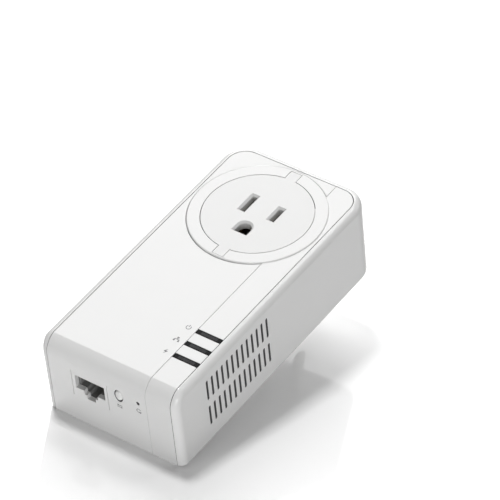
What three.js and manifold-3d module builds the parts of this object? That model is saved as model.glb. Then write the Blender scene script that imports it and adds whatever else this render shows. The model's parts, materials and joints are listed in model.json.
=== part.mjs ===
// Pass-through powerline adapter: a wall plug behind, an outlet in front, a network jack and two
// buttons on the lower end, and three status bars on a strip down the right-hand side.
// Millimetres. +Z runs up the case, -Y out of its front, +Y into the wall.
// The origin is on the back face, on the case's centre line, level with the two plug blades.

import * as THREE from 'three';
import { mergeVertices } from 'three/addons/utils/BufferGeometryUtils.js';
import Module from 'manifold-3d';

const wasm = await Module();
wasm.setup();

// ---- driving dimensions ----

const caseWidth = 62;
const caseLength = 125.4;
const caseDepth = 35.4;
const plugHeight = 97.8;
const wall = 2;
const gap = 0.3;
const lipRadius = 3;
const cornerRadius = 10.4;
const nose = { radius: 7, start: 5.5 };
const backRadius = 0.8;
const stripSeam = 16.75;

const top = caseLength - plugHeight;
const bottom = -plugHeight;
const front = -caseDepth;
const innerFront = front + wall;
const innerBottom = bottom + wall;
const seamHalfWidth = caseWidth / 2 - lipRadius;
const seamTop = top - lipRadius;
const seamRadius = cornerRadius - lipRadius;
// How far behind the front plane the rounded lower end becomes flat.
const noseReach = Math.sqrt(nose.radius ** 2 - (nose.radius - nose.start) ** 2);

// NEMA 5-15 plug and outlet. The plug sits right of the outlet, which is on the case's centre line.
const bladeX = 6.35;
const plugX = 8;
const groundZ = -11.9;
const blade = { thick: 1.5, wide: 6.35, reach: 17.6, hole: 2, holeY: 11.8 };
const pin = { radius: 2.4, reach: 21.2 };
const outletZ = -3.2;
const outletFront = front - 0.5;
const bezel = { inner: 21.8, outer: 26.8, flange: 27.5, back: -31.5 };
const face = { radius: 21.5, tabReach: 25.8, tabWide: 4.8, back: -32.4 };
const carrier = { radius: 20.5, front: -32.1, back: -19 };
const bevel = 0.8;

// Network jack, buttons and status bars.
const jackX = -9.25;
const jack = { wide: 16.1, y: [-26.5, -12.8], deep: 21, cavityDeep: 15 };
const sync = { x: 4.2, y: -23.6, halfX: 1.8, halfY: 2.5 };
const reset = { x: 13, y: -24.4, radius: 0.75 };
const barHeights = { power: bottom + 32.6, ethernet: bottom + 25.6, powerline: bottom + 18.5 };
const bar = { high: 2.25, thick: 1.1, tail: [20.5, 24.5], tailHigh: 1.5 };

// Vent slots, two rows on each side wall.
const vent = { count: 13, pitch: 3.1, firstZ: bottom + 18.3, wide: 1.2 };
const ventRows = [[-29.4, -19.9], [-16.6, -7.3]];

// Boards and fasteners.
const powerBoard = { y: [-6.1, -4.5], z: [-84.5, -22.3], halfWidth: 26.8 };
const logicBoard = { y: [-28.4, -26.8] };
const powerSeat = powerBoard.y[0] - gap;
const logicSeat = logicBoard.y[1] + gap;
const bossX = 23.3;
const bossHeights = [20, -89.5];
const boss = { radius: 3, hole: 1.5, back: -4.3, holeFront: -16 };
const boardPosts = [[-23, -26], [23, -26], [-23, -80.5], [23, -80.5]];

// ---- finishes ----

const whitePlastic = { color: 0xf4f4f2, roughness: 0.3, metalness: 0 };
const smokePlastic = { color: 0x101012, roughness: 0.25, metalness: 0 };
const jackPlastic = { color: 0xd6d6d4, roughness: 0.5, metalness: 0 };
const plated = { color: 0xc9c9c6, roughness: 0.3, metalness: 1 };
const brass = { color: 0xc8a24a, roughness: 0.35, metalness: 1 };
const boardGreen = { color: 0x1f5a36, roughness: 0.5, metalness: 0 };
const moulding = { color: 0x2a2a2c, roughness: 0.6, metalness: 0 };
const ferrite = { color: 0x3a3a3e, roughness: 0.7, metalness: 0 };
const tape = { color: 0xd8b53a, roughness: 0.45, metalness: 0 };
const sleeve = { color: 0x20303f, roughness: 0.35, metalness: 0 };
const blueCoat = { color: 0x2456a0, roughness: 0.4, metalness: 0 };
const chipBlack = { color: 0x18181a, roughness: 0.55, metalness: 0 };
const aluminium = { color: 0xb9bcc0, roughness: 0.4, metalness: 1 };
const steel = { color: 0x9a9c9e, roughness: 0.35, metalness: 1 };
const ledClear = { color: 0xe8ecd8, roughness: 0.2, metalness: 0 };

// ---- shape helpers ----

function solid(geometry) {
  const bare = geometry.clone();
  bare.deleteAttribute('normal');
  bare.deleteAttribute('uv');
  const merged = mergeVertices(bare, 1e-4);
  const positions = new Float32Array(merged.attributes.position.array);
  const index = merged.index.array;
  const corner = (i) => new THREE.Vector3().fromArray(positions, 3 * index[i]);
  const triangles = [];
  let volume = 0;
  for (let i = 0; i < index.length; i += 3) {
    const distinct = new Set([index[i], index[i + 1], index[i + 2]]);
    if (distinct.size === 3) {
      triangles.push(index[i], index[i + 1], index[i + 2]);
      volume += corner(i).dot(corner(i + 1).cross(corner(i + 2)));
    }
  }
  if (volume < 0) triangles.reverse();
  const mesh = { numProp: 3, vertProperties: positions, triVerts: new Uint32Array(triangles) };
  return new wasm.Manifold(new wasm.Mesh(mesh));
}

function join(first, ...others) {
  return others.reduce((sum, other) => sum.add(other), first);
}

function cut(body, ...tools) {
  return tools.reduce((rest, tool) => rest.subtract(tool), body);
}

function span(centre, size) {
  return [centre - size / 2, centre + size / 2];
}

function box(x, y, z) {
  const sides = [x, y, z];
  const size = sides.map(([low, high]) => high - low);
  const centre = sides.map(([low, high]) => (low + high) / 2);
  return solid(new THREE.BoxGeometry(...size).translate(...centre));
}

// A round rod along an axis. at holds its two coordinates across that axis, in X, Y, Z order.
function rod(axis, at, radius, [from, to], sides = 24) {
  const geometry = new THREE.CylinderGeometry(radius, radius, to - from, sides);
  const middle = (from + to) / 2;
  if (axis === 'x') geometry.rotateZ(-Math.PI / 2).translate(middle, at[0], at[1]);
  if (axis === 'y') geometry.translate(at[0], middle, at[1]);
  if (axis === 'z') geometry.rotateX(Math.PI / 2).translate(at[0], at[1], middle);
  return solid(geometry);
}

// A flat outline drawn across an axis, in X, Y, Z order, and extruded along it.
function prism(axis, points, [from, to]) {
  const shape = new THREE.Shape(points.map(([u, v]) => new THREE.Vector2(u, v)));
  const geometry = new THREE.ExtrudeGeometry(shape, { depth: to - from, bevelEnabled: false });
  if (axis === 'x') {
    const turn = new THREE.Matrix4().makeBasis(
      new THREE.Vector3(0, 1, 0),
      new THREE.Vector3(0, 0, 1),
      new THREE.Vector3(1, 0, 0),
    );
    geometry.applyMatrix4(turn).translate(from, 0, 0);
  }
  if (axis === 'y') geometry.rotateX(Math.PI / 2).translate(0, to, 0);
  if (axis === 'z') geometry.translate(0, 0, from);
  return solid(geometry);
}

// A turned piece from a profile of [radius, height] points, along Y or Z.
function turned(axis, profile, sides = 24) {
  const points = profile.map(([radius, height]) => new THREE.Vector2(radius, height));
  const geometry = new THREE.LatheGeometry(points, sides);
  if (axis === 'z') geometry.rotateX(Math.PI / 2);
  return solid(geometry);
}

function arc(centreU, centreV, radius, fromDegrees, toDegrees, steps) {
  const points = [];
  for (let i = 0; i <= steps; i += 1) {
    const angle = THREE.MathUtils.degToRad(fromDegrees + (toDegrees - fromDegrees) * i / steps);
    points.push([centreU + radius * Math.cos(angle), centreV + radius * Math.sin(angle)]);
  }
  return points;
}

// Counterclockwise, from the lower left, with its own radius for the low and the high corners.
function roundedRectangle(halfWidth, low, high, lowRadius, highRadius) {
  return [
    ...arc(lowRadius - halfWidth, low + lowRadius, lowRadius, 180, 270, 4),
    ...arc(halfWidth - lowRadius, low + lowRadius, lowRadius, 270, 360, 4),
    ...arc(halfWidth - highRadius, high - highRadius, highRadius, 0, 90, 8),
    ...arc(highRadius - halfWidth, high - highRadius, highRadius, 90, 180, 8),
  ];
}

// Outlines of [x, z] points at rising depths y, joined into one closed skin.
function loftAlongY(rings) {
  const count = rings[0].points.length;
  const positions = rings.flatMap(({ y, points }) => points.flatMap(([x, z]) => [x, y, z]));
  const triangles = [];
  for (let ring = 0; ring < rings.length - 1; ring += 1) {
    for (let i = 0; i < count; i += 1) {
      const a = ring * count + i;
      const b = ring * count + (i + 1) % count;
      triangles.push(a, b + count, b, a, a + count, b + count);
    }
  }
  const last = (rings.length - 1) * count;
  const outline = rings[0].points.map(([x, z]) => new THREE.Vector2(x, z));
  for (const [a, b, c] of THREE.ShapeUtils.triangulateShape(outline, [])) {
    triangles.push(a, b, c, last + a, last + c, last + b);
  }
  const geometry = new THREE.BufferGeometry();
  geometry.setAttribute('position', new THREE.Float32BufferAttribute(positions, 3));
  geometry.setIndex(triangles);
  return solid(geometry);
}

// How far a round edge of the given radius has drawn in at a distance from its flat face.
function rounding(radius, distance) {
  return distance < radius ? radius - Math.sqrt(radius ** 2 - (radius - distance) ** 2) : 0;
}

const model = new THREE.Group();

function add(name, shape, finish, position = [0, 0, 0], rotation = [0, 0, 0]) {
  const built = shape.getMesh();
  const geometry = new THREE.BufferGeometry();
  const positions = new Float32Array(built.vertProperties);
  geometry.setAttribute('position', new THREE.BufferAttribute(positions, 3));
  geometry.setIndex(new THREE.BufferAttribute(new Uint32Array(built.triVerts), 1));
  geometry.computeVertexNormals();
  const mesh = new THREE.Mesh(geometry, new THREE.MeshStandardMaterial(finish));
  mesh.name = name;
  mesh.position.set(...position);
  mesh.rotation.set(...rotation);
  model.add(mesh);
}

// ---- casing ----

// How high the rounded lower end stands above its flat, at a depth behind the front plane.
function noseRise(depth) {
  const level = Math.max(noseReach - depth, 0);
  return nose.radius - Math.sqrt(nose.radius ** 2 - level ** 2);
}

function caseRing(depth) {
  const back = rounding(backRadius, caseDepth - depth);
  const inset = rounding(lipRadius, depth) + back;
  const low = bottom + noseRise(depth) + back;
  const lowRadius = Math.max(lipRadius - inset, 0.1);
  const halfWidth = caseWidth / 2 - inset;
  const highRadius = cornerRadius - inset;
  const points = roundedRectangle(halfWidth, low, top - inset, lowRadius, highRadius);
  return { y: front + depth, points };
}

function wholeCase() {
  const lipDepths = [0, 15, 30, 45, 60, 75, 90].map(
    (angle) => lipRadius * (1 - Math.cos(THREE.MathUtils.degToRad(angle))),
  );
  const noseDepths = [4.2, 5.5, noseReach];
  const backDepths = [backRadius, 0.4, 0.1, 0].map((distance) => caseDepth - distance);
  return loftAlongY([...lipDepths, ...noseDepths, ...backDepths].map(caseRing));
}

// Everything inside the seam, out past the front and the lower end.
function seamCore(grow, yRange) {
  const points = roundedRectangle(
    seamHalfWidth + grow,
    bottom - 10,
    seamTop + grow,
    0.1,
    seamRadius + grow,
  );
  return prism('y', points, yRange);
}

// The space behind the front wall and above the lower end wall.
function coverInside() {
  const innerNose = nose.radius - wall;
  const points = [
    ...arc(innerFront + innerNose, innerBottom + innerNose, innerNose, 180, 270, 6),
    [wall, innerBottom],
    [wall, top + wall],
    [innerFront, top + wall],
  ];
  return prism('x', points, [-caseWidth, caseWidth]);
}

function ventSlots() {
  const slots = [];
  for (let i = 0; i < vent.count; i += 1) {
    const height = span(vent.firstZ + i * vent.pitch, vent.wide);
    for (const row of ventRows) slots.push(box([-caseWidth, caseWidth], row, height));
  }
  return slots;
}

function plugClearance(yRange) {
  const wide = blade.thick + 2 * gap;
  const high = blade.wide + 2 * gap;
  return [
    box(span(plugX - bladeX, wide), yRange, span(0, high)),
    box(span(plugX + bladeX, wide), yRange, span(0, high)),
    rod('y', [plugX, groundZ], pin.radius + gap, yRange),
  ];
}

function rearHousing(body) {
  const sideSpace = roundedRectangle(
    caseWidth / 2 - wall,
    bottom + lipRadius + gap,
    top - wall,
    0.1,
    cornerRadius - wall,
  );
  let housing = cut(
    body,
    seamCore(gap / 2, [front - 1, -wall]),
    prism('y', sideSpace, [front + 5, -wall]),
    box(span(0, 2 * seamHalfWidth + gap), [-wall - 1, 1], [bottom - 1, innerBottom + gap]),
    ...ventSlots(),
    ...plugClearance([-wall - 1, 1]),
  );
  for (const side of [-1, 1]) {
    for (const height of bossHeights) {
      const at = [side * bossX, height];
      housing = cut(
        join(housing, rod('y', at, 4.2, [-wall - 2, -wall + 0.5])),
        rod('y', at, 3.1, [-wall - 0.2, 1]),
        rod('y', at, 1.6, [-wall - 3, 1], 16),
      );
    }
  }
  for (const at of boardPosts) {
    housing = cut(
      join(housing, rod('y', at, 2.8, [powerBoard.y[1] + gap, -wall + 0.5], 16)),
      rod('y', at, 1.2, [powerBoard.y[1], -wall - 0.3], 12),
    );
  }
  return housing;
}

function addBosses(piece, side) {
  let result = piece;
  for (const height of bossHeights) {
    const at = [side * bossX, height];
    const post = rod('y', at, boss.radius, [innerFront - 0.5, boss.back]);
    result = cut(join(result, post), rod('y', at, boss.hole, [boss.holeFront, 0], 16));
  }
  return result;
}

// The plug opening of the jack: a wide body with a stepped latch key behind it.
function jackOpening(sideGrow, endGrow) {
  const steps = [[5.95 + sideGrow, -17.9], [3.05, -16.1], [1.9, -14.2]];
  const right = steps.flatMap(([half, end], i) => {
    const start = i === 0 ? -23.7 - endGrow : steps[i - 1][1] + endGrow;
    return [[half, start], [half, end + endGrow]];
  });
  const left = right.map(([x, y]) => [-x, y]).reverse();
  return [...right, ...left].map(([x, y]) => [jackX + x, y]);
}

function syncOutline([x, y], grow) {
  const circle = arc(0, 0, 1, 0, 360, 24).slice(0, -1);
  return circle.map(([u, v]) => [x + u * (sync.halfX + grow), y + v * (sync.halfY + grow)]);
}

function frontCover(skin) {
  let cover = skin.intersect(
    box([-caseWidth, stripSeam - gap / 2], [front - 5, wall], [bottom - 5, top + 5]),
  );
  cover = addBosses(cover, -1);
  for (const at of [[-23.5, -42], [-23.5, -80], [10, -42]]) {
    cover = join(cover, rod('y', at, 2.4, [innerFront - 0.5, logicBoard.y[0] - gap], 16));
  }
  const endWall = [bottom - 1, innerBottom + 1];
  const grooves = [-jack.wide / 2 - 0.1, jack.wide / 2 + 0.1].map(
    (offset) => box(span(jackX + offset, 0.25), jack.y, [bottom - 1, bottom + 0.7]),
  );
  return cut(
    cover,
    prism('z', jackOpening(0.75, 0.3), endWall),
    prism('z', syncOutline([sync.x, sync.y], gap), endWall),
    rod('z', [reset.x, reset.y], reset.radius, endWall, 16),
    ...grooves,
  );
}

function sideStrip(skin) {
  const strip = skin.intersect(
    box([stripSeam + gap / 2, caseWidth], [front - 5, wall], [bottom - 5, top + 5]),
  );
  const pockets = Object.values(barHeights).flatMap((height) => [
    box([stripSeam, caseWidth], [front - 1, front + bar.thick + gap], span(height, bar.high + 0.4)),
    box(
      [bar.tail[0] - gap, bar.tail[1] + gap],
      [front - 1, innerFront + 1],
      span(height, bar.tailHigh + 2 * gap),
    ),
  ]);
  return cut(addBosses(strip, 1), ...pockets);
}

function lightBar() {
  const inlay = [stripSeam + 0.2, seamHalfWidth - 0.2];
  return join(
    box(inlay, [front, front + bar.thick], span(0, bar.high)),
    box(bar.tail, [front + bar.thick - 0.1, front + 5.1], span(0, bar.tailHigh)),
  );
}

const body = wholeCase();
const outletHole = rod('y', [0, outletZ], bezel.outer + 0.25, [front - 1, innerFront + 1], 64);
const coverSkin = cut(
  body.intersect(seamCore(-gap / 2, [front - 1, 1])),
  coverInside(),
  outletHole,
);
add('rear_housing', rearHousing(body), whitePlastic);
add('front_cover', frontCover(coverSkin), whitePlastic);
add('side_strip', sideStrip(coverSkin), whitePlastic);
for (const [name, height] of Object.entries(barHeights)) {
  add(`light_bar_${name}`, lightBar(), smokePlastic, [0, 0, height]);
}

// ---- outlet ----

// The grounding hole: round above, flat below.
function groundOutline(grow) {
  const radius = 2.75 + grow;
  const centre = groundZ + 0.15;
  return [
    [-radius, centre - radius],
    [radius, centre - radius],
    ...arc(0, centre, radius, 0, 180, 12),
  ];
}

function bladeOutline(x, high, grow) {
  const half = 1.05 + grow;
  const tall = high / 2 + grow;
  return [[x - half, -tall], [x + half, -tall], [x + half, tall], [x - half, tall]];
}

// A straight hole through the outlet face with a bevelled mouth.
function beveledHole(outline) {
  const past = 0.2;
  return join(
    prism('y', outline(0), [outletFront, face.back + 1]),
    loftAlongY([
      { y: outletFront - past, points: outline(bevel + past) },
      { y: outletFront + bevel, points: outline(0) },
    ]),
  );
}

function outletBezel() {
  const ring = turned('y', [
    [bezel.inner, bezel.back],
    [bezel.flange, bezel.back],
    [bezel.flange, innerFront + gap],
    [bezel.outer, innerFront + gap],
    [bezel.outer, front + 0.1],
    [bezel.outer - 0.6, outletFront],
    [bezel.inner, outletFront],
    [bezel.inner, bezel.back],
  ], 64);
  const notch = box(
    span(0, face.tabWide + 2 * gap),
    [outletFront - 1, front + 1.8],
    span(0, 2 * (face.tabReach + gap)),
  );
  return cut(ring, notch);
}

function outletFace() {
  const disc = rod('y', [0, outletZ], face.radius, [outletFront, face.back], 64);
  const tabs = box(
    span(0, face.tabWide),
    [outletFront, front + 1.5],
    span(outletZ, 2 * face.tabReach),
  );
  return cut(
    join(disc, tabs),
    beveledHole((grow) => bladeOutline(-bladeX, 8.7, grow)),
    beveledHole((grow) => bladeOutline(bladeX, 6.9, grow)),
    beveledHole(groundOutline),
  );
}

function contactCarrier() {
  const through = [carrier.front - 1, carrier.back + 1];
  return cut(
    rod('y', [0, outletZ], carrier.radius, [carrier.front, carrier.back], 48),
    box(span(-bladeX, 3.8), through, span(0, 10.4)),
    box(span(bladeX, 3.8), through, span(0, 10.4)),
    box(span(0, 6.4), through, span(groundZ, 7.2)),
  );
}

// Two spring leaves either side of the blade, joined behind it.
function contact(inside, high) {
  const leaf = 0.45;
  const reach = [-31.6, -20];
  return join(
    box([-inside - leaf, -inside], reach, span(0, high)),
    box([inside, inside + leaf], reach, span(0, high)),
    box([-inside - leaf, inside + leaf], [reach[1] - leaf, reach[1]], span(0, high)),
  );
}

add('outlet_bezel', outletBezel(), whitePlastic, [0, 0, outletZ]);
add('outlet_face', outletFace(), whitePlastic);
add('contact_carrier', contactCarrier(), moulding);
add('line_contact', contact(0.85, 8.4), brass, [bladeX, 0, 0]);
add('neutral_contact', contact(0.85, 9.6), brass, [-bladeX, 0, 0]);
add('ground_contact', contact(2.4, 5.2), brass, [0, 0, groundZ]);

// ---- plug ----

const bladeRoot = [-9.8, -8.6];

function plugBlade() {
  const half = blade.wide / 2;
  const tip = blade.reach - 2;
  const outline = [
    [bladeRoot[1], -half],
    [tip, -half],
    [blade.reach, -half + 1.3],
    [blade.reach, half - 1.3],
    [tip, half],
    [bladeRoot[1], half],
  ];
  return cut(
    join(
      prism('x', outline, span(0, blade.thick)),
      box(span(0, 3.2), [bladeRoot[0], bladeRoot[1] + 0.1], span(0, 8.4)),
    ),
    rod('x', [blade.holeY, 0], blade.hole, span(0, 4)),
  );
}

function groundPin() {
  const tip = arc(0, pin.reach - pin.radius, pin.radius, 0, 90, 5);
  return turned('y', [
    [0, bladeRoot[0]],
    [3.4, bladeRoot[0]],
    [3.4, bladeRoot[1]],
    [pin.radius, bladeRoot[1]],
    ...tip.slice(0, -1),
    [0, pin.reach],
  ]);
}

// A bar stepped sideways, with a foot at each end, from an outlet contact back to its blade.
function passLink(footWide) {
  const high = span(0, 5);
  const step = [-15, -14];
  return join(
    box(span(0, footWide), [-19.6, -19], high),
    box(span(0, 1), [-19.1, step[1]], high),
    box([-0.5, plugX + 0.5], step, high),
    box(span(plugX, 1), [step[0], -10.6], high),
    box(span(plugX, footWide), [-10.7, -10.1], high),
  );
}

// A bent strip beside a link, down to the power board.
function supplyLead() {
  return join(
    box([0, 0.8], [-13.7, -12], [-26, 2]),
    box([0, 0.8], [-12.1, powerSeat], [-26, -24]),
  );
}

const moulded = box(span(plugX, 24), [-8.3, -wall - gap], [-17.5, 6.5]);
add('blade_carrier', cut(moulded, ...plugClearance([-9, 0])), moulding);
add('line_blade', plugBlade(), plated, [plugX + bladeX, 0, 0]);
add('neutral_blade', plugBlade(), plated, [plugX - bladeX, 0, 0]);
add('ground_pin', groundPin(), plated, [plugX, 0, groundZ]);
add('line_link', passLink(2.6), brass, [bladeX, 0, 0]);
add('neutral_link', passLink(2.6), brass, [-bladeX, 0, 0]);
add('ground_link', passLink(4.8), brass, [0, 0, groundZ]);
add('line_lead', supplyLead(), brass, [plugX + bladeX + 0.8, 0, 0]);
add('neutral_lead', supplyLead(), brass, [plugX - bladeX - 1.6, 0, 0]);

// ---- power board ----

function boardOutline() {
  const plate = box(span(0, 2 * powerBoard.halfWidth), powerBoard.y, powerBoard.z);
  return cut(plate, ...boardPosts.map((at) => rod('y', at, 1.5, [-9, 0], 16)));
}

function transformerCore() {
  const windows = [-1, 1].map((side) => box(span(side * 4.3, 3.4), [-20, 0], span(0, 10.4)));
  return cut(box([-8.5, 8.5], [-16, -8.4], [-8, 8]), ...windows);
}

function transformerCoil() {
  const ring = (halfX, halfY, round) => roundedRectangle(halfX, -halfY, halfY, round, round);
  return cut(prism('z', ring(5.7, 5.7, 1.5), [-4.9, 4.9]), prism('z', ring(2.9, 4.1, 0.2), [-6, 6]));
}

function canCapacitor(radius, high) {
  return turned('y', [
    [0, -high],
    [radius - 0.5, -high],
    [radius, 0.5 - high],
    [radius, 0],
    [0, 0],
  ]);
}

function chokeRing() {
  return solid(new THREE.TorusGeometry(5, 2.3, 10, 28).rotateX(Math.PI / 2));
}

function tubeFuse() {
  return join(
    rod('z', [0, 0], 2.3, [-7, 7]),
    rod('z', [0, 0], 2.7, [-7.5, -4.5]),
    rod('z', [0, 0], 2.7, [4.5, 7.5]),
  );
}

// A part standing on a board, given by its footprint and its height off the seat.
function packageOn(x, seat, high, z) {
  return box(x, high > 0 ? [seat, seat + high] : [seat + high, seat], z);
}

add('power_board', boardOutline(), boardGreen);
add('transformer_core', transformerCore(), ferrite, [5, 0, -57]);
add('transformer_coil', transformerCoil(), tape, [5, -12.2, -57]);
add('bulk_capacitor_1', canCapacitor(4.5, 13), sleeve, [-20, powerSeat, -48]);
add('bulk_capacitor_2', canCapacitor(4.5, 13), sleeve, [-20, powerSeat, -59]);
add('output_capacitor', canCapacitor(3.2, 11), sleeve, [20, powerSeat, -62]);
add('x_capacitor', packageOn([-13.5, -7], powerSeat, -11.6, [-46, -30]), tape);
add('common_mode_choke', chokeRing(), ferrite, [2.5, powerSeat - 2.6, -38]);
add('fuse', tubeFuse(), steel, [13.5, powerSeat - 3, -34.5]);
add('varistor', rod('x', [0, 0], 5, span(0, 4.3)), blueCoat, [20.2, powerSeat - 5.3, -33]);
add('bridge_rectifier', packageOn([-24, -16.5], powerSeat, -2.8, [-39, -32]), chipBlack);
add('power_controller', packageOn([-13.2, -6], powerSeat, -3.4, [-57, -47.5]), chipBlack);
add('optocoupler', packageOn([-12, -7.4], powerSeat, -3.4, [-67, -60.4]), chipBlack);
add('line_coupler', packageOn([-16, -5], powerSeat, -5.6, [-80, -70]), ferrite);
add('coupling_capacitor', packageOn([15.5, 25.5], powerSeat, -9.6, [-73.5, -69]), blueCoat);

// ---- logic board ----

function logicPlate() {
  return prism('y', [
    [-18.5, -93.6],
    [18.5, -93.6],
    [18.5, -84],
    [26.5, -84],
    [26.5, -36],
    [-26.5, -36],
    [-26.5, -84],
    [-18.5, -84],
  ], logicBoard.y);
}

// Pins from the power board to the logic board, held by a strip at each end.
function boardHeader() {
  const strips = [[-9, powerSeat], [logicSeat, -24]];
  const pins = [9.2, 11.7, 14.2, 16.7].map((x) => box(span(x, 0.64), [-24.5, -8.5], span(-81.3, 0.64)));
  return join(...strips.map((y) => box([8, 18], y, [-82.6, -80])), ...pins);
}

function heatSink() {
  const fins = [0, 1, 2, 3, 4, 5].map((i) => box([3.16 * i, 3.16 * i + 1.2], [1, 5], [0, 17]));
  return join(box([0, 17], [0, 1.4], [0, 17]), ...fins);
}

add('logic_board', logicPlate(), boardGreen);
add('board_header', boardHeader(), moulding);
add('main_chip', packageOn([-3, 11], logicSeat, 1.2, [-65, -51]), chipBlack);
add('heat_sink', heatSink(), aluminium, [-4.5, logicSeat + 1.5, -66.5]);
add('memory_chip', packageOn([-19, -9], logicSeat, 1.1, [-62, -50]), chipBlack);
add('clock_crystal', packageOn([16, 20.6], logicSeat, 3.6, [-52, -41]), steel);
add('ethernet_transformer', packageOn([-17, -5], logicSeat, 4.8, [-73.5, -65]), chipBlack);
for (const [name, height] of Object.entries(barHeights)) {
  const lamp = box([21, 24], [-1.2, 0], span(0, 1.6));
  add(`led_${name}`, lamp, ledClear, [0, logicBoard.y[0] - gap, height]);
}

// ---- network jack ----

const jackMouth = innerBottom + gap;

function jackHousing() {
  const shell = box(span(jackX, jack.wide), jack.y, [jackMouth, jackMouth + jack.deep]);
  return cut(shell, prism('z', jackOpening(0, 0.3), [jackMouth - 1, jackMouth + jack.cavityDeep]));
}

// Eight sprung fingers along the front of the cavity, held by one bar at its far end.
function jackContacts() {
  const far = jackMouth + jack.cavityDeep - 0.4;
  const finger = [[-23.65, -93.8], [-23.3, -93.8], [-22.9, far - 1], [-23.4, far - 1]];
  const fingers = [];
  for (let i = 0; i < 8; i += 1) {
    fingers.push(prism('x', finger, span(jackX + 1.02 * (i - 3.5), 0.5)));
  }
  return join(box(span(jackX, 8.4), [-23.6, -22.8], [far - 1.4, far]), ...fingers);
}

add('jack_housing', jackHousing(), jackPlastic);
add('jack_contacts', jackContacts(), brass);

// ---- buttons ----

// An oval cap with a domed end, on a round flange and stem.
function syncButton() {
  const behindWall = innerBottom + gap;
  const cap = (inset, from) => prism('z', syncOutline([0, 0], -inset), [from, behindWall + 0.1]);
  const stem = turned('z', [
    [0, behindWall],
    [3.4, behindWall],
    [3.4, behindWall + 0.8],
    [1.4, behindWall + 0.8],
    [1.4, -93.6],
    [0, -93.6],
  ]);
  return join(stem, cap(0, bottom + 0.3), cap(0.3, bottom), cap(0.9, bottom - 0.25));
}

function tactSwitch(at, wide, y, z, holeRadius, holeDeep) {
  return cut(
    box(span(at.x, wide), y, z),
    rod('z', [at.x, at.y], holeRadius, [z[0] - 1, z[0] + holeDeep], 16),
  );
}

add('sync_button', syncButton(), whitePlastic, [sync.x, sync.y, 0]);
add('sync_switch', tactSwitch(sync, 6.2, [logicSeat, -20.9], [-91, -87], 1.9, 2.7), moulding);
add('sync_plunger', rod('z', [sync.x, sync.y], 1.6, [-93.3, -89.4], 16), chipBlack);
add('reset_switch', tactSwitch(reset, 6, [logicSeat, -22.3], [-92.6, -88.8], 1.3, 3), moulding);
add('reset_plunger', rod('z', [reset.x, reset.y], 1, [-94.8, -90.4], 16), chipBlack);

// ---- fasteners ----

// A pan-head screw with a cross recess, its head facing the given way along Y.
function screw(headRadius, headHigh, shankRadius, length) {
  const recess = [span(0, 0.7), span(0, headRadius * 1.1)];
  const deep = [headHigh - 0.8, headHigh + 1];
  return cut(
    turned('y', [
      [0, -length],
      [shankRadius, -length],
      [shankRadius, 0],
      [headRadius, 0],
      [headRadius, headHigh - 0.4],
      [headRadius - 0.5, headHigh],
      [0, headHigh],
    ], 20),
    box(recess[0], deep, recess[1]),
    box(recess[1], deep, recess[0]),
  );
}

let screwNumber = 1;
for (const side of [-1, 1]) {
  for (const height of bossHeights) {
    const head = screw(2.7, 1.6, 1.2, 12);
    add(`case_screw_${screwNumber}`, head, steel, [side * bossX, -wall + 0.1, height]);
    screwNumber += 1;
  }
}

[boardPosts[0], boardPosts[3]].forEach(([x, z], i) => {
  const head = screw(2.3, 1.4, 0.9, 3.7);
  add(`board_screw_${i + 1}`, head, steel, [x, powerSeat, z], [Math.PI, 0, 0]);
});

export default model;
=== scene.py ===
"""Looks for the pass-through powerline adapter: finer shells, materials, studio light and camera.

Shapes are drawn in millimetres in the CAD frame and scaled to metres when each piece is made.
"""

import json
import math

import bmesh
import bpy
from mathutils import Matrix, Vector


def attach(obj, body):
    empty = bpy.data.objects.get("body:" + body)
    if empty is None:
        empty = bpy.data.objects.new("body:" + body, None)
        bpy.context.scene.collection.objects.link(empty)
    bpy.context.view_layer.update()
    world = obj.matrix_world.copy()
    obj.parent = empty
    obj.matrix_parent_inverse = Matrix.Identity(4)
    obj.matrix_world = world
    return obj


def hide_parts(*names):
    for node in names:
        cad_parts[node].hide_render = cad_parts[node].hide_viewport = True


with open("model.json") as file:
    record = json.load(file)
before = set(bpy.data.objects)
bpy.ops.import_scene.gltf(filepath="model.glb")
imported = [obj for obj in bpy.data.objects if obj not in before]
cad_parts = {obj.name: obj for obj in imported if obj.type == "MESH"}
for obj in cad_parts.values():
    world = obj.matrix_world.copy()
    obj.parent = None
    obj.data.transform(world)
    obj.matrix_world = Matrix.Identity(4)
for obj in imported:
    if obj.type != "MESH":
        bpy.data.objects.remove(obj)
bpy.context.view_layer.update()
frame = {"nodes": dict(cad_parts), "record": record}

MM = 0.001

# ---- sizes and places, in millimetres ----

WIDTH = 62.0
FRONT = -35.4
BOTTOM = -97.8
TOP = 27.6
WALL = 2.0
# Radii of the lip round the front, the upper corners, the lower end and the back edge.
LIP = 3.0
CORNER = 10.4
NOSE = 7.0
BACK_ROUND = 0.8
# The lower end's round meets the front in a crease, this far above the bottom.
NOSE_START = 5.5
SHARP = 0.1
PAST = 10.0

SEAM_HALF = WIDTH / 2 - LIP
SEAM_TOP = TOP - LIP
SEAM_CORNER = CORNER - LIP
STRIP_SEAM = 16.75
SEAM_GAP = 0.28
STRIP_GAP = 0.12
EDGE = 0.15
CLEAR = 0.3

VENT_COUNT = 13
VENT_PITCH = 3.1
VENT_START = BOTTOM + 18.3
VENT_WIDE = 1.2
VENT_ROWS = ((-29.4, -19.9), (-16.6, -7.3))
VENT_ROUND = 0.12

SCREW_X = 23.3
SCREW_HEIGHTS = (20, -89.5)
SCREW_HEAD = 3.1
SCREW_SHANK = 1.6
BOSS = 4.2

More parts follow.
